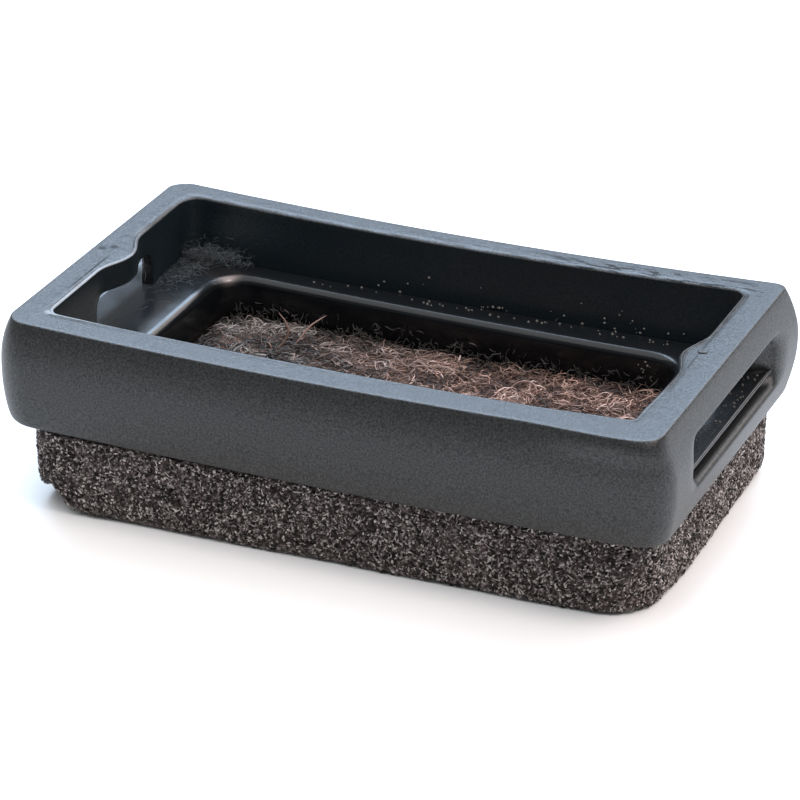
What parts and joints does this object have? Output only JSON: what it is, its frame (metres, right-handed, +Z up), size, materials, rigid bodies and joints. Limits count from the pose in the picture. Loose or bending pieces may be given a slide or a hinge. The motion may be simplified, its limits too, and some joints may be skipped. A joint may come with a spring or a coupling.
{
  "type": "furniture slider",
  "caption": "Slip-on rectangular furniture slider: rubber sleeve with a leg pocket and end slots, hard inner carrier plate and a thick felt sole.",
  "frame": {"origin": "middle of the felt's lower face, on the floor", "axes": "+X along the slider's length, +Y across it, +Z up out of the leg pocket"},
  "size_m": [0.0624, 0.0364, 0.0177],
  "materials": {
    "sleeve_rubber": "fine-grained matte moulded thermoplastic rubber, dark grey",
    "carrier_plastic": "smooth black moulded polypropylene, half gloss",
    "bond_film": "amber hot-melt adhesive film",
    "felt": "needled felt of mixed dark brown, black and grey fibres"
  },
  "bodies": {
    "root": {"sleeve": "sleeve_rubber", "felt_carrier": "carrier_plastic", "bond_film": "bond_film", "felt_sole": "felt"}
  },
  "joints": []
}
